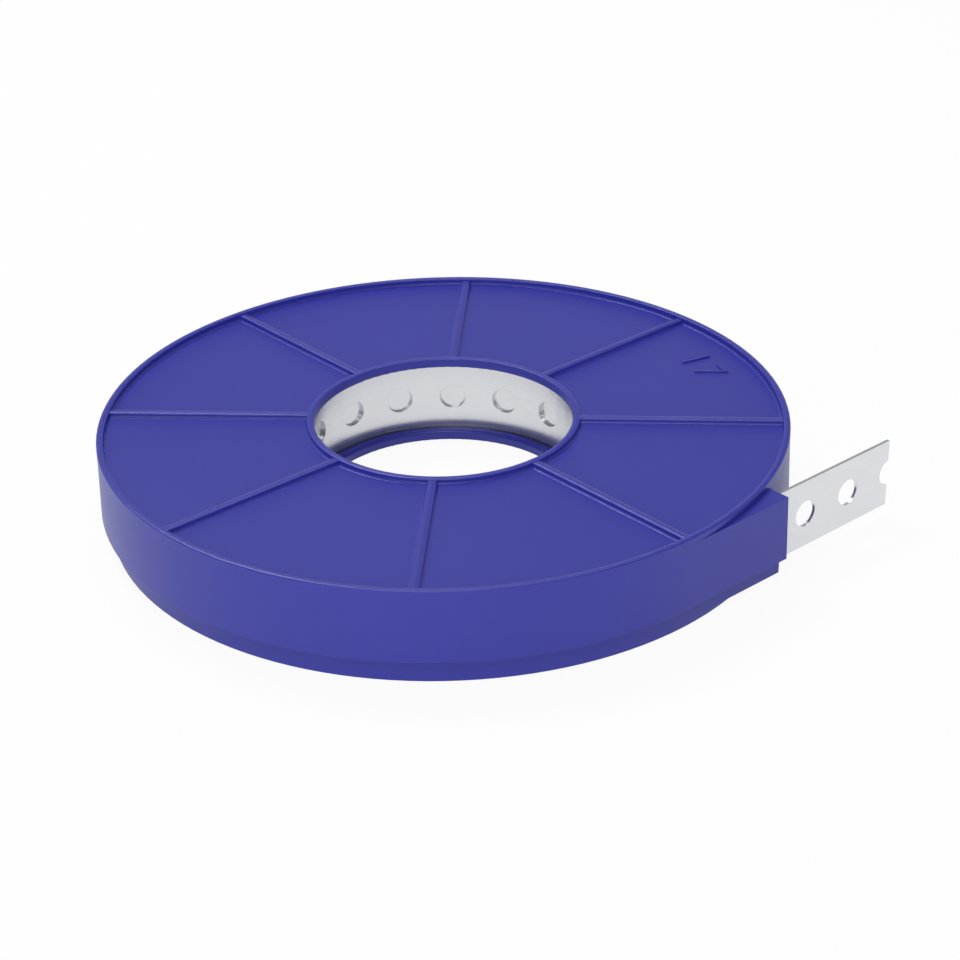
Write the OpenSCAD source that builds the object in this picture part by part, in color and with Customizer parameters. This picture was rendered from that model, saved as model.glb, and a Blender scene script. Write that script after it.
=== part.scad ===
// Perforated steel strap, wound in a coil inside the round two-part case that it is pulled from.
// The Z axis is the axis of the coil, Z = 0 is the floor that the case lies on,
// and the strap leaves the case along +X. All sizes are in millimetres.

/* [Strap] */
// Width of the strap
strap_w = 17; // [12:0.5:30]
// Thickness of the strap
strap_t = 0.8; // [0.5:0.1:1.2]
// Diameter of the holes punched along the middle of the strap
hole_d = 6.5; // [3:0.1:9]
// Distance from one hole to the next
hole_pitch = 14.75; // [11:0.05:25]

/* [Coil] */
// Outside diameter of the coil
coil_d = 154; // [140:0.5:200]
// Diameter of the bore of the coil
coil_bore_d = 69; // [56:1:90]
// Least gap between one turn of the coil and the next
turn_gap = 0.65; // [0.4:0.05:1.2]
// Depth of the gaps between the turns, on both ends of the coil
turn_depth = 1.2; // [0.4:0.1:3]
// Holes that show around the bore
bore_holes = 16; // [10:1:17]
// Angle from +X to a hole in the bore
bore_hole_angle = 46; // [0:1:90]

/* [Free end] */
// Distance from the mouth of the spout to the first hole that shows
first_hole = 12.15; // [8:0.05:20]
// Whole holes in the free end, which is cut through the next hole
free_holes = 2; // [1:1:6]
// Distance from the cut to the middle of the hole that it goes through
cut_off = 0.45; // [0:0.05:1.4]

/* [Case] */
// Thickness of the upright walls
wall_t = 1.6; // [1:0.1:2.5]
// Thickness of the flat plates
plate_t = 0.8; // [0.6:0.1:2]
// Room between the outermost turn and the wall around it
coil_gap = 1.7; // [0.6:0.1:4]
// Room between the upper edge of the strap and the upper plate
coil_play = 1.6; // [0.4:0.1:2.5]
// Clearance between the lower wall and the skirt around it
lap_gap = 0.2; // [0.1:0.05:0.5]
// Height of the lower edge of the skirt above the floor
skirt_z = 6.1; // [4:0.1:10]
// How much wider the skirt is at its lower edge than at the plate, on each side
skirt_flare = 0.35; // [0.1:0.05:0.8]
// How far the plates reach in past the bore of the coil
lip = 3.6; // [2.6:0.1:8]

/* [Rims and ribs] */
// Height of the outer rims above the plates
rim_h = 1.6; // [1.2:0.1:2.4]
// Width of the outer rim
rim_w = 1.6; // [1.3:0.1:3]
// Width of the collar around the centre hole
collar_w = 1.7; // [1.4:0.1:2.5]
// How far the collars stay below the outer rims
collar_drop = 0.35; // [0.2:0.05:0.5]
// Height of the collar's bead above the inside of the plate
bead_h = 0.5; // [0.2:0.1:0.6]
// Half of the narrow flat on the crown of the bead
bead_flat = 0.05; // [0.02:0.01:0.3]
// Number of ribs
rib_count = 8; // [4:1:12]
// Width of a rib
rib_w = 2.1; // [1.4:0.1:3]
// How far the ribs stay below the outer rims
rib_drop = 0.5; // [0.3:0.05:0.6]
// Rounding of the upper edges of rims, collars and ribs
edge_r = 0.3; // [0.2:0.05:0.5]
// Largest fillet at the foot of rims, collars and ribs
foot_r = 0.6; // [0.2:0.05:0.8]

/* [Spout] */
// Distance from the axis of the coil to the mouth of the spout
spout_len = 30.7; // [24:0.1:45]
// Clearance between the strap and the inner lip of the mouth
mouth_gap = 0.9; // [0.4:0.1:2]

/* [Hidden] */
$fn = 128;
// Radii, from the coil outwards
bore_r = coil_bore_d / 2;
coil_r = coil_d / 2;
lower_in_r = coil_r + coil_gap;
lower_r = lower_in_r + wall_t;
upper_in_r = lower_r + lap_gap;
upper_r = upper_in_r + wall_t;
skirt_r = upper_r + skirt_flare;
centre_r = bore_r - lip;
// Heights, from the floor upwards
floor_z = rim_h + plate_t;
strap_z = floor_z + strap_w / 2;
ceiling_z = floor_z + strap_w + coil_play;
// Bead of a collar: its height above the outside of the plate, and the rounding of its crown
bead_top = plate_t + bead_h;
bead_r = min(collar_w / 2, bead_top) - bead_flat;
// Faces of the free end of the strap, as distances from the axis, and its holes
tail_back = coil_r - strap_t;
mouth_lip = tail_back - mouth_gap;
first_hole_x = spout_len + first_hole;
cut_hole_x = first_hole_x + free_holes * hole_pitch;
tail_end = cut_hole_x - cut_off;
// Turns of the coil
coil_span = coil_r - bore_r - strap_t;
turn_count = floor(coil_span / (strap_t + turn_gap));
turn_pitch = coil_span / turn_count;
// Holes along the straight part and the outermost turn
straight_holes = free_holes + 1 + floor(first_hole_x / hole_pitch);
outer_r = coil_r - strap_t / 2;
outer_holes = floor((2 * PI * outer_r - spout_len) / hole_pitch);
first_outer = straight_holes * hole_pitch - cut_hole_x;

// A round chamber with a spout that leaves it at a tangent, seen from above
module shell_outline(r) {
    circle(r);
    translate([0, -r])
        square([spout_len, r]);
}

// The room inside a wall: the chamber, and the channel that the strap leaves through
module shell_room(r) {
    circle(r);
    translate([0, -r])
        square([upper_r, r - mouth_lip]);
}

// Upright wall of a shell, from z1 up to z2
module shell_wall(r, z1, z2) {
    translate([0, 0, z1])
        linear_extrude(z2 - z1)
            difference() {
                shell_outline(r);
                shell_room(r - wall_t);
            }
}

// Wall of the upper shell: a skirt that widens downwards, with a spout whose side leans the same way
module skirt() {
    difference() {
        union() {
            translate([0, 0, skirt_z])
                cylinder(r1 = skirt_r, r2 = upper_r, h = ceiling_z - skirt_z);
            rotate([90, 0, 90])
                linear_extrude(spout_len)
                    polygon([[0, skirt_z], [-skirt_r, skirt_z], [-upper_r, ceiling_z], [0, ceiling_z]]);
        }
        translate([0, 0, skirt_z - wall_t])
            linear_extrude(ceiling_z - skirt_z + wall_t)
                shell_room(upper_in_r);
    }
}

// Flat plate of a shell, whose edge around the centre hole lies inside the collar
module shell_plate(r) {
    linear_extrude(plate_t)
        difference() {
            shell_outline(r);
            circle(centre_r + collar_w / 2);
        }
}

// Fillet of radius r in the corner between a plate and an upright face
module foot_fillet(r) {
    difference() {
        square(r);
        translate([r, r])
            circle(r);
    }
}

// Section of a ridge that stands on y = 0, with rounded upper edges. The sides that have
// a fillet at the foot are listed in feet, 0 for the left one and 1 for the right one.
// A low ridge has a smaller fillet, so that it ends where the upper rounding begins.
module ridge(w, h, feet, r = edge_r) {
    square([w, h - r]);
    translate([r, 0])
        square([w - 2 * r, h]);
    for (x = [r, w - r])
        translate([x, h - r])
            circle(r);
    for (side = feet)
        translate([side * w, 0])
            mirror([1 - side, 0])
                foot_fillet(min(foot_r, h - r));
}

// Outer rim, collar and ribs on the outside of a plate, for a shell of radius r.
// The collar goes on through the plate and stands inside it as a bead.
module relief(r) {
    rotate_extrude()
        translate([r - rim_w, 0])
            ridge(rim_w, rim_h, [0]);
    rotate_extrude()
        translate([centre_r, 0]) {
            ridge(collar_w, rim_h - collar_drop, [1]);
            mirror([0, 1])
                ridge(collar_w, bead_top, [], bead_r);
        }
    rib_in = centre_r + collar_w / 2;
    rib_out = r - rim_w / 2;
    for (i = [0 : rib_count - 1])
        rotate(i * 360 / rib_count)
            translate([rib_in, -rib_w / 2, 0])
                rotate([90, 0, 90])
                    linear_extrude(rib_out - rib_in)
                        ridge(rib_w, rim_h - rib_drop, [0, 1]);
}

// Upper half of the case, whose plate rests on the wall of the lower half
module upper_shell() {
    color("royalblue") {
        skirt();
        translate([0, 0, ceiling_z])
            shell_plate(upper_r);
        translate([0, 0, ceiling_z + plate_t])
            relief(upper_r);
    }
}

// Lower half of the case, with its rim, collar and ribs facing the floor
module lower_shell() {
    color("mediumblue") {
        shell_wall(lower_r, floor_z, ceiling_z);
        translate([0, 0, rim_h]) {
            shell_plate(lower_r);
            mirror([0, 0, 1])
                relief(lower_r);
        }
    }
}

// Half section of the coil, with the gaps between its turns open on both ends
module coil_section() {
    difference() {
        translate([bore_r, floor_z])
            square([coil_r - bore_r, strap_w]);
        for (i = [0 : turn_count - 1])
            for (z = [floor_z - turn_depth, floor_z + strap_w - turn_depth])
                translate([bore_r + i * turn_pitch + strap_t, z])
                    square([turn_pitch - strap_t, 2 * turn_depth]);
    }
}

// One punch through the strap, along +X from a distance r1 to r2 from the axis
module punch(r1, r2) {
    translate([r1, 0, strap_z])
        rotate([0, 90, 0])
            cylinder(d = hole_d, h = r2 - r1);
}

// The strap: its coil, turned with its bore, and the straight end that leaves at a tangent
module steel_strap() {
    color("silver")
        difference() {
            union() {
                rotate_extrude()
                    coil_section();
                translate([0, -coil_r, floor_z])
                    cube([tail_end, strap_t, strap_w]);
            }
            for (i = [0 : bore_holes - 1])
                rotate(bore_hole_angle + i * 360 / bore_holes)
                    punch(bore_r - strap_t, bore_r + strap_t);
            for (i = [0 : outer_holes - 1])
                rotate(-90 - (first_outer + i * hole_pitch) / outer_r * 180 / PI)
                    punch(coil_r - strap_t, coil_r + strap_t);
            for (i = [0 : straight_holes - 1])
                translate([cut_hole_x - i * hole_pitch, 0, 0])
                    rotate(-90)
                        punch(tail_back - strap_t, coil_r + strap_t);
        }
}

upper_shell();
lower_shell();
steel_strap();
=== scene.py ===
# %% [markdown]
# # A coil of perforated steel strap in its dispenser case
# The part is a flat round case of blue plastic with a coil of galvanised strap inside. Its solids come from
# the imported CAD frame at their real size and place. This lesson gives them smooth skins with softened corners,
# adds the raised number on the lid, and lights them as a small studio would.

# %% Load the frame
import math

import bmesh
import bpy
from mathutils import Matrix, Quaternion, Vector


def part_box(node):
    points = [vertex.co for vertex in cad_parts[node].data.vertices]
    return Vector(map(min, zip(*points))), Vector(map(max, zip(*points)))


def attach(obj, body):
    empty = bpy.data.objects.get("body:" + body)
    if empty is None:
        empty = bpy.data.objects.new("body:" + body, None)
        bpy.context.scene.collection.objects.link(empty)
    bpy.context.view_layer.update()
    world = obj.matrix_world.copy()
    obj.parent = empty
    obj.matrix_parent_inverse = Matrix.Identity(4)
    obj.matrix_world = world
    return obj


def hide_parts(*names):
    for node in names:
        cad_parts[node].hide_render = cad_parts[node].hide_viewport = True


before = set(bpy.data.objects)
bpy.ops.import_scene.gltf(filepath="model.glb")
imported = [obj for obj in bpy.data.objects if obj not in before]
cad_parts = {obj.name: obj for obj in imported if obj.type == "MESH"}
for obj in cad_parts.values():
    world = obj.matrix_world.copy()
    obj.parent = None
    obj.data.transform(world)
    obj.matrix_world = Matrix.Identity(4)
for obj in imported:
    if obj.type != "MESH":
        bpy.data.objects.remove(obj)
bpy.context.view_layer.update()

MM = 0.001

# %% [markdown]
# ## The camera
# The photograph looks down on the case from the side where the strap leaves. Aiming a camera by eye takes many
# tries, so its place is worked out instead: a point to aim at near the middle of the case, a heading, a height
# angle, a slight tilt and a distance. A lens of about 85 mm gives the same gentle perspective.

# %% Camera
AIM_POINT = Vector((-1.3, -14.3, 11.4)) * MM
HEADING = math.radians(40.87)
LOOKING_DOWN = math.radians(28.35)
TILT = math.radians(-1.19)
CAMERA_DISTANCE = 537.2 * MM
LENS_MM = 85.26
NEAREST_SEEN = 10 * MM

sight = Vector((
    math.sin(HEADING) * math.cos(LOOKING_DOWN),
    math.cos(HEADING) * math.cos(LOOKING_DOWN),
    -math.sin(LOOKING_DOWN),
))
camera = bpy.data.objects.new("camera", bpy.data.cameras.new("camera"))
camera.data.lens = LENS_MM
camera.data.clip_start = NEAREST_SEEN
camera.location = AIM_POINT - sight * CAMERA_DISTANCE
camera.rotation_mode = "QUATERNION"
camera.rotation_quaternion = sight.to_track_quat("-Z", "Y") @ Quaternion((0, 0, 1), TILT)
bpy.context.collection.objects.link(camera)
bpy.context.scene.camera = camera
print("camera at", tuple(round(c, 4) for c in camera.location))

# %% [markdown]
# ## Smooth skins for the solids
# A CAD solid arrives as triangles, but every triangle corner also carries the exact direction of the curved
# surface there. Those directions make a coarse fillet look truly round, so they are worth keeping. Each solid is
# copied, and the exact normals travel with the corners in a layer while the loose triangles are merged.

# %% Copy of a solid
MERGE_DISTANCE = 0.5e-6
LAYER = "exact_normal"


def exact_copy(node):
    """A bmesh copy of a CAD node, with its triangles merged and its exact normals in a layer."""
    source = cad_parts[node].data
    skin = bmesh.new()
    skin.from_mesh(source)
    layer = skin.loops.layers.float_vector.new(LAYER)
    for face, polygon in zip(skin.faces, source.polygons):
        for loop, index in zip(face.loops, polygon.loop_indices):
            loop[layer] = source.corner_normals[index].vector
    bmesh.ops.remove_doubles(skin, verts=skin.verts, dist=MERGE_DISTANCE)
    return skin


print("exact directions travel in the layer", LAYER)

# %% [markdown]
# ## Softened corners
# No moulded or punched corner is perfectly sharp. A Bevel modifier would round every edge of a piece at once, so
# the bevel is made in the bmesh, on chosen edges only. A new bevel face takes the normals of its neighbours, and so
# the light rolls from one flat to the next.

# %% Softened corners
SHARP_ANGLE = math.radians(35)
FITTING_ANGLE = math.radians(60)
BEVEL_STEPS = 2


def is_corner(edge, layer):
    """True where the two surfaces that meet along an edge form a sharp outer corner."""
    if len(edge.link_loops) != 2 or not edge.is_convex:
        return False
    here, there = edge.link_loops
    return here[layer].angle(there.link_loop_next[layer], 0) > SHARP_ANGLE


def soften(skin, chosen, radius):
    """Rounds the outer corners that chosen(edge) picks, and gives the new faces fitting normals."""
    layer = skin.loops.layers.float_vector[LAYER]
    edges = [edge for edge in skin.edges if chosen(edge) and is_corner(edge, layer)]
    made = bmesh.ops.bevel(
        skin, geom=edges, offset=radius, offset_type="OFFSET", segments=BEVEL_STEPS,
        profile=0.5, affect="EDGES", clamp_overlap=True, material=-1,
    )
    fresh = set(made["faces"])
    skin.normal_update()
    for face in fresh:
        for loop in face.loops:
            known = [other[layer] for other in loop.vert.link_loops if other.face not in fresh]
            near = [normal for normal in known if normal.angle(loop.vert.normal, 0) < FITTING_ANGLE]
            loop[layer] = sum(near, Vector()).normalized() if near else loop.vert.normal
    return len(edges)


print("corners of more than", round(math.degrees(SHARP_ANGLE)), "degrees can be rounded")

# %% [markdown]
# ## From a skin to a piece
# A finished skin becomes a mesh that keeps its own normals, which smooth shading alone would average away. The
# piece rides on the part's one body and stands for the solid that it was copied from.

# %% Finished skin
SHORTEST_NORMAL = 0.1


def skin_object(name, skin, node):
    """Turns a finished skin into the piece that stands for its CAD node."""
    layer = skin.loops.layers.float_vector[LAYER]
    normals = []
    for face in skin.faces:
        face.smooth = True
        for loop in face.loops:
            known = loop[layer].length > SHORTEST_NORMAL
            normals.append(loop[layer].normalized() if known else face.normal.copy())
    skin.loops.layers.float_vector.remove(layer)
    mesh = bpy.data.meshes.new(name)
    skin.to_mesh(mesh)
    skin.free()
    mesh.normals_split_custom_set(normals)
    piece = bpy.data.objects.new(name, mesh)
    bpy.context.collection.objects.link(piece)
    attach(piece, "root")
    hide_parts(node)
    return piece


print("skins to make:", len(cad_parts))

# %% [markdown]
# ## The relief of the shells
# Each shell is one moulding. Its plate carries an outer rim, a collar and eight ribs, all with rounded upper
# edges and a fillet at the foot. The roundings are known: every one is an arc in the shell's section, around the
# axis or along a rib. So the direction of the surface can be worked out from the centre of its arc, which is far
# smoother than what the triangles give.

# %% Sections of the relief
RIM_WIDTH, RIM_HEIGHT = 1.6 * MM, 1.6 * MM
COLLAR_WIDTH, COLLAR_HEIGHT = 1.7 * MM, 1.25 * MM
RIB_WIDTH, RIB_HEIGHT, RIB_COUNT = 2.1 * MM, 1.1 * MM, 8
CENTRE_RADIUS = 30.9 * MM
BEAD_DEPTH, BEAD_ROUND = 1.3 * MM, 0.8 * MM
EDGE_ROUND = 0.3 * MM
FOOT_FILLET = 0.6 * MM


def round_arcs(reach):
    """Arcs that run around the axis: centre radius, centre height above the plate, arc radius, and which way
    the surface faces, 1 for away from the centre of the arc and -1 for towards it."""
    rim_in = reach - RIM_WIDTH
    collar_out = CENTRE_RADIUS + COLLAR_WIDTH
    edge, foot = EDGE_ROUND, FOOT_FILLET
    return (
        (rim_in + edge, RIM_HEIGHT - edge, edge, 1),
        (reach - edge, RIM_HEIGHT - edge, edge, 1),
        (rim_in - foot, foot, foot, -1),
        (CENTRE_RADIUS + edge, COLLAR_HEIGHT - edge, edge, 1),
        (collar_out - edge, COLLAR_HEIGHT - edge, edge, 1),
        (collar_out + foot, foot, foot, -1),
        (CENTRE_RADIUS + BEAD_ROUND, BEAD_ROUND - BEAD_DEPTH, BEAD_ROUND, 1),
        (collar_out - BEAD_ROUND, BEAD_ROUND - BEAD_DEPTH, BEAD_ROUND, 1),
    )


RIB_ARCS = (
    (RIB_WIDTH / 2 - EDGE_ROUND, RIB_HEIGHT - EDGE_ROUND, EDGE_ROUND, 1),
    (RIB_WIDTH / 2 + FOOT_FILLET, FOOT_FILLET, FOOT_FILLET, -1),
)
print("arcs in the relief:", len(round_arcs(1.0)) + len(RIB_ARCS))

# %% [markdown]
# ## Which surface a face lies on
# A face belongs to an arc, to the leaning skirt or to the narrow top of a ridge when all of its points lie there,
# within a few thousandths of a millimetre. Testing the points needs no names or numbers of faces, so it also works
# when the solid is cut into other triangles.

# %% Finding the surface
ON_SURFACE = 0.004 * MM
LID_RADIUS, BASE_RADIUS = 82.1 * MM, 80.3 * MM
SKIRT_TOP = 21.0 * MM
SKIRT_SPREAD, SKIRT_DROP = 0.35 * MM, 14.9 * MM
SKIRT_LEAN = SKIRT_SPREAD / SKIRT_DROP


def arc_under(points, arcs):
    """The arc that every point of a face lies on, if there is one."""
    for across, height, radius, way in arcs:
        if all(abs(math.hypot(a - across, h - height) - radius) < ON_SURFACE for a, h in points):
            return across, height, radius, way
    return None


def on_skirt(v):
    """True for a point on the outside of the skirt, which widens a little towards its lower edge."""
    widened = LID_RADIUS + SKIRT_LEAN * (SKIRT_TOP - v.co.z)
    return v.co.z < SKIRT_TOP + ON_SURFACE and abs(math.hypot(v.co.x, v.co.y) - widened) < ON_SURFACE


def crown_of(outs, sides, heights, reach):
    """The flat top that a face lies on, as its middle and half width, and whether it runs around the axis."""
    tops = (
        (RIM_HEIGHT, outs, reach - RIM_WIDTH / 2, RIM_WIDTH / 2 - EDGE_ROUND, True),
        (COLLAR_HEIGHT, outs, CENTRE_RADIUS + COLLAR_WIDTH / 2, COLLAR_WIDTH / 2 - EDGE_ROUND, True),
        (RIB_HEIGHT, sides, 0.0, RIB_WIDTH / 2 - EDGE_ROUND, False),
    )
    for top, across, middle, half, around in tops:
        level = all(abs(high - top) < ON_SURFACE for high in heights)
        if level and all(abs(a - middle) < half + ON_SURFACE for a in across):
            return middle, half, around
    return None


print("the skirt leans by", round(math.degrees(math.atan(SKIRT_LEAN)), 2), "degrees")

# %% [markdown]
# ## Directions of the shells' surfaces
# Every face of a shell now gets its normals from the surface it lies on: an arc, a round wall, the leaning skirt or
# a plain flat. The narrow tops lean outwards a little on both sides, as a moulded ridge does when the plastic
# shrinks, and so they catch the light in a thin bright line.

# %% Directions
CROWN_LEAN = math.tan(math.radians(22))
WALL_TILT, SKIRT_TILT = 0.01, 0.1


def outward(v):
    """The level direction that leads away from the axis at a vertex."""
    return Vector((v.co.x, v.co.y, 0)) / math.hypot(v.co.x, v.co.y)


def across_rib(point):
    """The level direction across the nearest rib, to the side that a point is on."""
    step = 2 * math.pi / RIB_COUNT
    turn = round(math.atan2(point.y, point.x) / step) * step
    side = Vector((-math.sin(turn), math.cos(turn), 0))
    return -side if side.dot(point) < 0 else side


def true_normals(skin, reach, plate_z, up):
    """Sets the normals of a shell from the planes, cylinders, cone and arcs that it is made of."""
    layer = skin.loops.layers.float_vector[LAYER]
    arcs = round_arcs(reach)
    lift = Vector((0, 0, up))
    kinds = dict.fromkeys(("arc", "rib", "crown", "wall", "skirt", "flat"), 0)
    for face in skin.faces:
        side = across_rib(face.calc_center_median())
        heights = [up * (v.co.z - plate_z) for v in face.verts]
        outs = [math.hypot(v.co.x, v.co.y) for v in face.verts]
        sides = [side.dot(v.co) for v in face.verts]
        ring = arc_under(list(zip(outs, heights)), arcs)
        rib = None if ring else arc_under(list(zip(sides, heights)), RIB_ARCS)
        crown = None if ring or rib else crown_of(outs, sides, heights, reach)
        if ring or rib:
            kind = "arc" if ring else "rib"
            across, height, radius, way = ring or rib
            for loop, out, aside, high in zip(face.loops, outs, sides, heights):
                flat = outward(loop.vert) if ring else side
                offset = (out if ring else aside) - across
                loop[layer] = way * (flat * offset + lift * (high - height)) / radius
        elif crown:
            kind = "crown"
            middle, half, around = crown
            for loop, out, aside in zip(face.loops, outs, sides):
                flat = outward(loop.vert) if around else side
                lean = CROWN_LEAN * ((out if around else aside) - middle) / half
                loop[layer] = (flat * lean + lift).normalized()
        elif abs(face.normal.z) < WALL_TILT and max(outs) - min(outs) < ON_SURFACE:
            kind = "wall"
            for loop in face.loops:
                radial = outward(loop.vert)
                loop[layer] = radial if radial.dot(face.normal) > 0 else -radial
        elif abs(face.normal.z) < SKIRT_TILT and all(on_skirt(v) for v in face.verts):
            kind = "skirt"
            for loop in face.loops:
                loop[layer] = (outward(loop.vert) + Vector((0, 0, SKIRT_LEAN))).normalized()
        else:
            kind = "flat"
            for loop in face.loops:
                loop[layer] = face.normal
        kinds[kind] += 1
    return kinds


print("narrow tops lean by up to", round(math.degrees(math.atan(CROWN_LEAN))), "degrees")

# %% [markdown]
# ## The two shells
# Both shells are dressed in the same way, the lower one upside down. Only the corners of the wall and the spout
# still need a bevel. They are found by place: every sharp edge that lies on the outer outline or around the mouth
# of the spout.

# %% Shells
CORNER_RADIUS = 0.22 * MM
MOUTH_X = 30.7 * MM
OUTLINE_MARGIN = 0.02 * MM
LID_PLATE_Z, BASE_PLATE_Z = 21.8 * MM, 1.6 * MM


def on_outline(reach):
    """A test for edges on the outer outline of a shell: its round wall, its spout and the spout's mouth."""
    inside = reach - OUTLINE_MARGIN

    def test(edge):
        outer = all(math.hypot(v.co.x, v.co.y) > inside or v.co.y < -inside for v in edge.verts)
        return outer or all(abs(v.co.x - MOUTH_X) < OUTLINE_MARGIN and v.co.y < 0 for v in edge.verts)

    return test


shells = []
for node, slot, reach, plate_z, up in (
    ("upper_shell", "case_upper", LID_RADIUS, LID_PLATE_Z, 1),
    ("lower_shell", "case_lower", BASE_RADIUS, BASE_PLATE_Z, -1),
):
    skin = exact_copy(node)
    kinds = true_normals(skin, reach, plate_z, up)
    count = soften(skin, on_outline(reach), CORNER_RADIUS)
    shells.append(skin_object(node + "_skin", skin, node))
    print(node, "faces by kind:", kinds, "rounded edges:", count)

# %% [markdown]
# ## The strap
# The strap is rolled steel with punched holes. A punch leaves a soft edge on one face, so the rims of the holes
# in the coil and in the free end get a small bevel. They are found by height, since they stay clear of the strap's
# two long edges. The coil's end grooves lie inside the case and stay as they are.

# %% Strap
PUNCH_RADIUS = 0.3 * MM
LONG_EDGE = 3 * MM
strap_low, strap_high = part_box("steel_strap")


def near_hole(edge):
    """True for the rims of the holes, which stay well inside the strap's two long edges."""
    return all(strap_low.z + LONG_EDGE < v.co.z < strap_high.z - LONG_EDGE for v in edge.verts)


strap_skin = exact_copy("steel_strap")
print("strap hole edges:", soften(strap_skin, near_hole, PUNCH_RADIUS))
strap = skin_object("steel_strap_skin", strap_skin, "steel_strap")
print("strap faces:", len(strap.data.polygons))

# %% [markdown]
# ## The digits
# Cases like this carry a number for the size inside, here the strap's width of 17 mm, moulded a little proud of
# the lid. A digit could be drawn point by point, but Blender's own font has good shapes. So each digit is a text
# curve with a thickness and a rounded edge, made into a mesh before it is put in its place.

# %% Digits
DIGIT_HEIGHT = 7.7 * MM
DIGIT_PROUD = 0.42 * MM
DIGIT_EDGE, DIGIT_EDGE_STEPS = 0.14 * MM, 2
DIGIT_THINNER = -0.022


def digit_mesh(figure):
    """A mesh of one digit in the font's own size, lying flat around z = 0."""
    curve = bpy.data.curves.new("digit_" + figure, "FONT")
    curve.body = figure
    curve.extrude = 0.5 * (DIGIT_PROUD - DIGIT_EDGE) / DIGIT_HEIGHT
    curve.bevel_depth = DIGIT_EDGE / DIGIT_HEIGHT
    curve.bevel_resolution = DIGIT_EDGE_STEPS
    curve.offset = DIGIT_THINNER
    holder = bpy.data.objects.new("digit_" + figure, curve)
    bpy.context.collection.objects.link(holder)
    bpy.context.view_layer.update()
    mesh = bpy.data.meshes.new_from_object(holder.evaluated_get(bpy.context.evaluated_depsgraph_get()))
    bpy.data.objects.remove(holder)
    bpy.data.curves.remove(curve)
    return mesh


print("digits stand", DIGIT_PROUD / MM, "mm proud")

# %% [markdown]
# ## The raised number
# The digits are scaled to their height and laid on the panel with their tops outwards, so that the number follows
# the rim. Their foot sinks into the plate, so no gap can show.

# %% Number
DIGIT_TURNS = (("1", -15.3), ("7", -21.5))
BASELINE_RADIUS = 66.0 * MM
DIGIT_SUNK = 0.1 * MM
DIGIT_MERGE = 1e-6

number = bmesh.new()
for figure, degrees in DIGIT_TURNS:
    mesh = digit_mesh(figure)
    low = [min(v.co[i] for v in mesh.vertices) for i in range(3)]
    high = [max(v.co[i] for v in mesh.vertices) for i in range(3)]
    scale = DIGIT_HEIGHT / (high[1] - low[1])
    turn = math.radians(degrees)
    out = Vector((math.cos(turn), math.sin(turn), 0))
    along = Vector((math.sin(turn), -math.cos(turn), 0))
    for v in mesh.vertices:
        x = (v.co.x - 0.5 * (low[0] + high[0])) * scale
        y = (v.co.y - low[1]) * scale
        z = LID_PLATE_Z + DIGIT_PROUD if v.co.z > 0 else LID_PLATE_Z - DIGIT_SUNK
        z += (v.co.z - (high[2] if v.co.z > 0 else low[2])) * scale
        v.co = along * x + out * (BASELINE_RADIUS + y) + Vector((0, 0, z))
    number.from_mesh(mesh)
    bpy.data.meshes.remove(mesh)
bmesh.ops.remove_doubles(number, verts=number.verts, dist=DIGIT_MERGE)
bmesh.ops.recalc_face_normals(number, faces=number.faces)
for face in number.faces:
    face.smooth = True
for edge in number.edges:
    edge.smooth = len(edge.link_faces) == 2 and edge.calc_face_angle() < SHARP_ANGLE
number_piece = bpy.data.objects.new("raised_number", bpy.data.meshes.new("raised_number"))
number.to_mesh(number_piece.data)
number.free()
bpy.context.collection.objects.link(number_piece)
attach(number_piece, "root")
print("number faces:", len(number_piece.data.polygons))

# %% [markdown]
# ## Helpers for shader nodes
# A material is a small graph. Three helpers keep the graphs short to write: one adds a socket to a node group, one
# adds a node and sets its values at once, and one joins nodes. Effects that more than one material could use become
# node groups, which hand out colours and values only; the shader itself stays in each material.

# %% Node helpers
GREY, WHITE = (0.5, 0.5, 0.5, 1), (1, 1, 1, 1)
SATIN = 0.3


def socket(group, name, kind, way, value=None):
    """Adds an input or an output to a node group, with its value to start from."""
    made = group.interface.new_socket(name=name, in_out=way, socket_type=kind)
    if value is not None:
        made.default_value = value


def put(tree, kind, fixed=None, **values):
    """Adds a node and sets its properties, the inputs that are named with a leading capital letter, and the inputs
    that fixed gives by their number, because some nodes call all of theirs the same."""
    node = tree.nodes.new(kind)
    for key, value in values.items():
        if key[0].isupper():
            node.inputs[key.replace("_", " ")].default_value = value
        else:
            setattr(node, key, value)
    for index, value in (fixed or {}).items():
        node.inputs[index].default_value = value
    return node


def wire(tree, *links):
    """Joins nodes: each link is a node and its output, and then a node and its input."""
    for source, output, target, entry in links:
        tree.links.new(source.outputs[output], target.inputs[entry])


print("helpers:", socket.__name__, put.__name__, wire.__name__)

# %% [markdown]
# ## The skin of a moulding
# Moulded plastic is one colour all through, yet it never looks quite even: the melt leaves faint clouds, and the
# tool's own surface leaves a very fine grain. One slow noise tints the colour and the roughness by a few hundredths.
# One fast noise is the height for a bump. Both are read from the object's own coordinates, so the pattern is fixed
# to the piece and needs no picture.

# %% Moulded skin group
CLOUD_SCALE, GRAIN_SCALE = 35.0, 3800.0
CLOUD_SHARE = 0.02
SHEEN_SPREAD = 0.06

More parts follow.
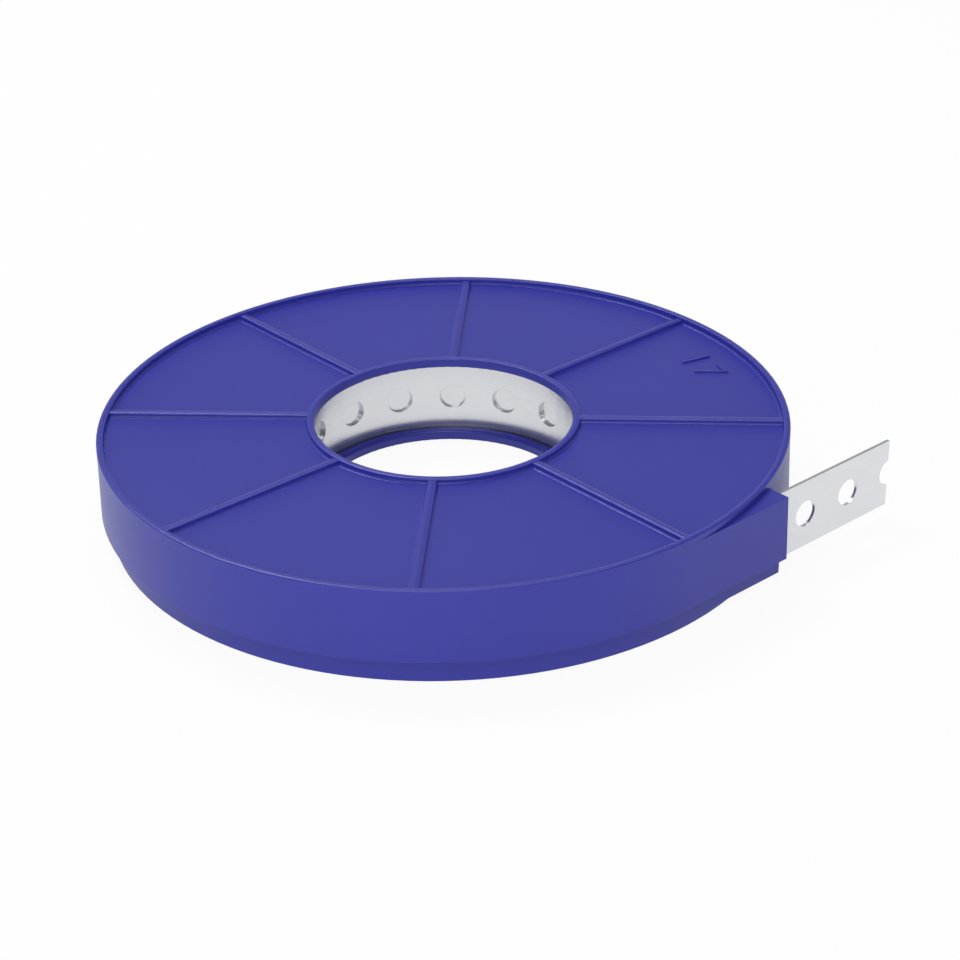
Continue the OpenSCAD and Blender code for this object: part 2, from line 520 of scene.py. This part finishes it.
moulded = bpy.data.node_groups.new("moulded_skin", "ShaderNodeTree")
socket(moulded, "Colour", "NodeSocketColor", "INPUT", GREY)
socket(moulded, "Roughness", "NodeSocketFloat", "INPUT", SATIN)
socket(moulded, "Cloud", "NodeSocketFloat", "INPUT", CLOUD_SHARE)
socket(moulded, "Colour", "NodeSocketColor", "OUTPUT")
socket(moulded, "Roughness", "NodeSocketFloat", "OUTPUT")
socket(moulded, "Height", "NodeSocketFloat", "OUTPUT")
into = put(moulded, "NodeGroupInput")
out = put(moulded, "NodeGroupOutput")
place = put(moulded, "ShaderNodeTexCoord")
cloud = put(moulded, "ShaderNodeTexNoise", Scale=CLOUD_SCALE, Detail=3.0, Roughness=0.5)
grain = put(moulded, "ShaderNodeTexNoise", Scale=GRAIN_SCALE, Detail=1.0, Roughness=0.5)
lift = put(moulded, "ShaderNodeMapRange", clamp=False)
less = put(moulded, "ShaderNodeMath", {0: 1.0}, operation="SUBTRACT")
more = put(moulded, "ShaderNodeMath", {0: 1.0}, operation="ADD")
tint = put(moulded, "ShaderNodeVectorMath", operation="SCALE")
sheen = put(moulded, "ShaderNodeMath", {1: SHEEN_SPREAD}, operation="MULTIPLY_ADD")
wire(
    moulded,
    (place, "Object", cloud, "Vector"),
    (place, "Object", grain, "Vector"),
    (cloud, "Fac", lift, "Value"),
    (into, "Cloud", less, 1),
    (into, "Cloud", more, 1),
    (less, "Value", lift, "To Min"),
    (more, "Value", lift, "To Max"),
    (into, "Colour", tint, 0),
    (lift, "Result", tint, "Scale"),
    (tint, "Vector", out, "Colour"),
    (cloud, "Fac", sheen, 0),
    (into, "Roughness", sheen, 2),
    (sheen, "Value", out, "Roughness"),
    (grain, "Fac", out, "Height"),
)
print("moulded skin nodes:", len(moulded.nodes))

# %% [markdown]
# ## Painted shade in the groove
# Between the coil and the bead of the lower shell runs a groove less than two millimetres wide. Its deep shade
# is painted into the colour as a black line under the bright coil. The corner is found from its place: a
# ring at one distance from the axis and at one height. Inside that ring the colour is darkened: painted shade.

# %% Painted groove shade group
GROOVE_RADIUS, GROOVE_HALF = 34.2 * MM, 0.4 * MM
GROOVE_Z, GROOVE_DEPTH = 2.4 * MM, 0.3 * MM
# painted shade: inside the groove ring the colour is scaled down to this share
GROOVE_PAINTED_SHADE = 0.1

groove = bpy.data.node_groups.new("painted_groove_shade", "ShaderNodeTree")
socket(groove, "Colour", "NodeSocketColor", "INPUT", GREY)
socket(groove, "Dark", "NodeSocketFloat", "INPUT", GROOVE_PAINTED_SHADE)
socket(groove, "Colour", "NodeSocketColor", "OUTPUT")
into = put(groove, "NodeGroupInput")
out = put(groove, "NodeGroupOutput")
place = put(groove, "ShaderNodeTexCoord")
level = put(groove, "ShaderNodeVectorMath", {1: (1, 1, 0)}, operation="MULTIPLY")
reach = put(groove, "ShaderNodeVectorMath", operation="LENGTH")
part = put(groove, "ShaderNodeSeparateXYZ")
near = put(groove, "ShaderNodeMath", {1: GROOVE_RADIUS, 2: GROOVE_HALF}, operation="COMPARE")
low = put(groove, "ShaderNodeMath", {1: GROOVE_Z, 2: GROOVE_DEPTH}, operation="COMPARE")
both = put(groove, "ShaderNodeMath", operation="MULTIPLY")
shade = put(groove, "ShaderNodeMapRange", To_Min=1.0)
tint = put(groove, "ShaderNodeVectorMath", operation="SCALE")
wire(
    groove,
    (place, "Object", level, 0),
    (level, "Vector", reach, 0),
    (place, "Object", part, "Vector"),
    (reach, "Value", near, 0),
    (part, "Z", low, 0),
    (near, "Value", both, 0),
    (low, "Value", both, 1),
    (both, "Value", shade, "Value"),
    (into, "Dark", shade, "To Max"),
    (into, "Colour", tint, 0),
    (shade, "Result", tint, "Scale"),
    (tint, "Vector", out, "Colour"),
)
print("groove shade nodes:", len(groove.nodes))

# %% [markdown]
# ## Blue plastic
# The case is a deep blue with a semi-gloss tool finish. The colour is nearly pure blue, because the pale sheen that
# the eye sees on it comes from the room and not from the pigment. A roughness of about a third keeps that sheen soft
# on the panels and still lets the rounded edges sparkle.

# %% Plastic
BLUE = (0.026, 0.03, 0.345, 1)
PLASTIC_ROUGHNESS = 0.36
GRAIN_STRENGTH, GRAIN_DEPTH = 0.05, 0.02 * MM

plastic = bpy.data.materials.new("blue_plastic")
plastic.use_nodes = True
tree = plastic.node_tree
shader = tree.nodes["Principled BSDF"]
skin_group = put(tree, "ShaderNodeGroup", node_tree=moulded, Colour=BLUE, Roughness=PLASTIC_ROUGHNESS)
# painted shade: this group darkens the colour in the groove beside the coil
painted_shade_group = put(tree, "ShaderNodeGroup", node_tree=groove)
bump = put(tree, "ShaderNodeBump", Strength=GRAIN_STRENGTH, Distance=GRAIN_DEPTH)
wire(
    tree,
    (skin_group, "Colour", painted_shade_group, "Colour"),
    (painted_shade_group, "Colour", shader, "Base Color"),
    (skin_group, "Roughness", shader, "Roughness"),
    (skin_group, "Height", bump, "Height"),
    (bump, "Normal", shader, "Normal"),
)
blue_pieces = (*shells, number_piece)
for piece in blue_pieces:
    piece.data.materials.clear()
    piece.data.materials.append(plastic)
print("plastic on", len(blue_pieces), "pieces")

# %% [markdown]
# ## Rolled zinc
# Galvanised strap is rolled after it is dipped. The rolls leave fine lines along the strap, and the zinc keeps a
# trace of its crystals. The lines are a noise that is stretched over a hundred times along the strap: they are close
# together across its width, which stands upright here, and long around the coil. The crystals are the cells of a
# Voronoi pattern, each up to one hundredth lighter or darker than the coat.

# %% Rolled zinc group
ROLL_LINES = (40, 40, 5000)
CRYSTAL_SCALE = 260.0
DARK_CRYSTAL, PALE_CRYSTAL = 0.99, 1.01
ROLL_SPREAD = 0.08

rolled = bpy.data.node_groups.new("rolled_zinc", "ShaderNodeTree")
socket(rolled, "Colour", "NodeSocketColor", "INPUT", GREY)
socket(rolled, "Roughness", "NodeSocketFloat", "INPUT", SATIN)
socket(rolled, "Colour", "NodeSocketColor", "OUTPUT")
socket(rolled, "Roughness", "NodeSocketFloat", "OUTPUT")
socket(rolled, "Height", "NodeSocketFloat", "OUTPUT")
into = put(rolled, "NodeGroupInput")
out = put(rolled, "NodeGroupOutput")
place = put(rolled, "ShaderNodeTexCoord")
stretch = put(rolled, "ShaderNodeMapping", Scale=ROLL_LINES)
lines = put(rolled, "ShaderNodeTexNoise", Scale=1.0, Detail=2.0, Roughness=0.6)
spangle = put(rolled, "ShaderNodeTexVoronoi", Scale=CRYSTAL_SCALE, Randomness=1.0)
split = put(rolled, "ShaderNodeSeparateColor")
shade = put(rolled, "ShaderNodeMapRange", To_Min=DARK_CRYSTAL, To_Max=PALE_CRYSTAL)
tint = put(rolled, "ShaderNodeVectorMath", operation="SCALE")
sheen = put(rolled, "ShaderNodeMath", {1: ROLL_SPREAD}, operation="MULTIPLY_ADD")
wire(
    rolled,
    (place, "Object", stretch, "Vector"),
    (stretch, "Vector", lines, "Vector"),
    (place, "Object", spangle, "Vector"),
    (spangle, "Color", split, "Color"),
    (split, "Red", shade, "Value"),
    (into, "Colour", tint, 0),
    (shade, "Result", tint, "Scale"),
    (tint, "Vector", out, "Colour"),
    (lines, "Fac", sheen, 0),
    (into, "Roughness", sheen, 2),
    (sheen, "Value", out, "Roughness"),
    (lines, "Fac", out, "Height"),
)
print("rolled zinc nodes:", len(rolled.nodes))

# %% [markdown]
# ## The zinc coat
# A fresh coat is bright metal, but its thin grey oxide is not. A metallic share below one mixes the two, and a low
# roughness keeps the reflections of the white paper clear, which is what makes the strap look pale.

# %% Zinc
ZINC = (0.74, 0.75, 0.775, 1)
ZINC_ROUGHNESS = 0.22
ZINC_METAL = 0.8
ROLL_STRENGTH, ROLL_DEPTH = 0.04, 0.01 * MM

zinc = bpy.data.materials.new("zinc_coat")
zinc.use_nodes = True
tree = zinc.node_tree
shader = tree.nodes["Principled BSDF"]
shader.inputs["Metallic"].default_value = ZINC_METAL
zinc_group = put(tree, "ShaderNodeGroup", node_tree=rolled, Colour=ZINC, Roughness=ZINC_ROUGHNESS)
bump = put(tree, "ShaderNodeBump", Strength=ROLL_STRENGTH, Distance=ROLL_DEPTH)
wire(
    tree,
    (zinc_group, "Colour", shader, "Base Color"),
    (zinc_group, "Roughness", shader, "Roughness"),
    (zinc_group, "Height", bump, "Height"),
    (bump, "Normal", shader, "Normal"),
)
strap.data.materials.clear()
strap.data.materials.append(zinc)
print("zinc on", strap.name)

# %% [markdown]
# ## The floor
# The case lies on white paper that fills the picture. Paper under lamps never comes out evenly white, so most of
# what the camera and the reflections see of it is a plain white glow, and the rest is ordinary matt paper. That rest
# still takes the lamps' light, and so it keeps a trace of the shadow under the case.

# %% Floor
FLOOR_SIDE = 6.0
FLOOR_BELOW = 0.05 * MM
WHITE_SHARE = 0.93
PAPER = (0.93, 0.93, 0.93, 1)

floor_mesh = bmesh.new()
bmesh.ops.create_grid(floor_mesh, x_segments=1, y_segments=1, size=FLOOR_SIDE / 2)
floor = bpy.data.objects.new("floor", bpy.data.meshes.new("floor"))
floor_mesh.to_mesh(floor.data)
floor_mesh.free()
bpy.context.collection.objects.link(floor)
floor.location.z = -FLOOR_BELOW

paper = bpy.data.materials.new("white_paper")
paper.use_nodes = True
tree = paper.node_tree
tree.nodes.clear()
rays = put(tree, "ShaderNodeLightPath")
glossy = put(tree, "ShaderNodeMath", operation="MAXIMUM")
through = put(tree, "ShaderNodeMath", operation="MAXIMUM")
share = put(tree, "ShaderNodeMath", {1: WHITE_SHARE}, operation="MULTIPLY")
matt = put(tree, "ShaderNodeBsdfDiffuse", Color=PAPER)
glow = put(tree, "ShaderNodeEmission", Color=WHITE, Strength=1.0)
blend = put(tree, "ShaderNodeMixShader")
end = put(tree, "ShaderNodeOutputMaterial")
wire(
    tree,
    (rays, "Is Camera Ray", glossy, 0),
    (rays, "Is Glossy Ray", glossy, 1),
    (glossy, "Value", through, 0),
    (rays, "Is Transmission Ray", through, 1),
    (through, "Value", share, 0),
    (share, "Value", blend, "Fac"),
    (matt, "BSDF", blend, 1),
    (glow, "Emission", blend, 2),
    (blend, "Shader", end, "Surface"),
)
floor.data.materials.append(paper)
print("floor:", FLOOR_SIDE, "m a side, white share", WHITE_SHARE)

# %% [markdown]
# ## The light of the room
# The room itself is nearly dark overhead and bright along the horizon, like a white backdrop that curves up behind
# the table. From the low camera, the far edges of the lid mirror that backdrop as thin bright lines.

# %% Room
HORIZON_GLOW, SKY_GLOW = 1.3, 0.1
HORIZON_BAND = 0.35

bpy.context.scene.view_settings.view_transform = "Standard"
world = bpy.data.worlds.new("studio")
world.use_nodes = True
bpy.context.scene.world = world
tree = world.node_tree
back = tree.nodes["Background"]
back.inputs["Color"].default_value = WHITE
around = put(tree, "ShaderNodeTexCoord")
height = put(tree, "ShaderNodeSeparateXYZ")
ramp = put(tree, "ShaderNodeMapRange", From_Max=HORIZON_BAND, To_Min=HORIZON_GLOW, To_Max=SKY_GLOW)
wire(
    tree,
    (around, "Generated", height, "Vector"),
    (height, "Z", ramp, "Value"),
    (ramp, "Result", back, "Strength"),
)
print("room light:", HORIZON_GLOW, "at the horizon,", SKY_GLOW, "above")

# %% [markdown]
# ## The lamps
# Six softboxes light the case. A large one overhead softens it all, and the others are placed by their angle to the
# left of the camera and their height above the table. The key stands behind on the left, so that every rib has a
# bright side and a dark side. A long strip behind, high up, draws the lines on the ridges, and a dim panel behind
# gives the lid its even sheen. Two lamps near the camera open up the front wall and the bore. Together they light a
# level face so that a colour comes out about as it is written.

# %% Lamps
def from_camera(left, up, distance):
    """A place that is so many degrees to the left of the camera, seen from above, and so many degrees high."""
    bearing = -math.pi / 2 - HEADING - math.radians(left)
    level = distance * math.cos(math.radians(up))
    return Vector((level * math.cos(bearing), level * math.sin(bearing), distance * math.sin(math.radians(up))))


def softbox(name, place, size, watts):
    """A rectangular lamp that faces the middle of the case."""
    lamp = bpy.data.objects.new(name, bpy.data.lights.new(name, "AREA"))
    lamp.data.shape = "RECTANGLE"
    lamp.data.size, lamp.data.size_y = size
    lamp.data.energy = watts
    lamp.location = place
    lamp.rotation_euler = (-place).to_track_quat("-Z", "Y").to_euler()
    bpy.context.collection.objects.link(lamp)


SOFTBOXES = (
    ("overhead", Vector((0, 0, 1.0)), (1.4, 1.4), 1.5),
    ("back_strip", from_camera(175, 64, 1.1), (0.9, 0.18), 2.4),
    ("key", from_camera(140, 55, 1.1), (0.35, 0.35), 4),
    ("back_panel", from_camera(197, 30, 1.3), (1.1, 0.9), 0.5),
    ("front_high", from_camera(0, 55, 1.1), (0.3, 0.3), 3.2),
    ("front_fill", from_camera(20, 18, 1.1), (0.8, 0.4), 2.6),
)
for name, place, size, watts in SOFTBOXES:
    softbox(name, place, size, watts)
    print("lamp", name, watts, "W")

# %% [markdown]
# ## The finish
# The last step brings the view layer up to date.

# %% Finish
bpy.context.view_layer.update()
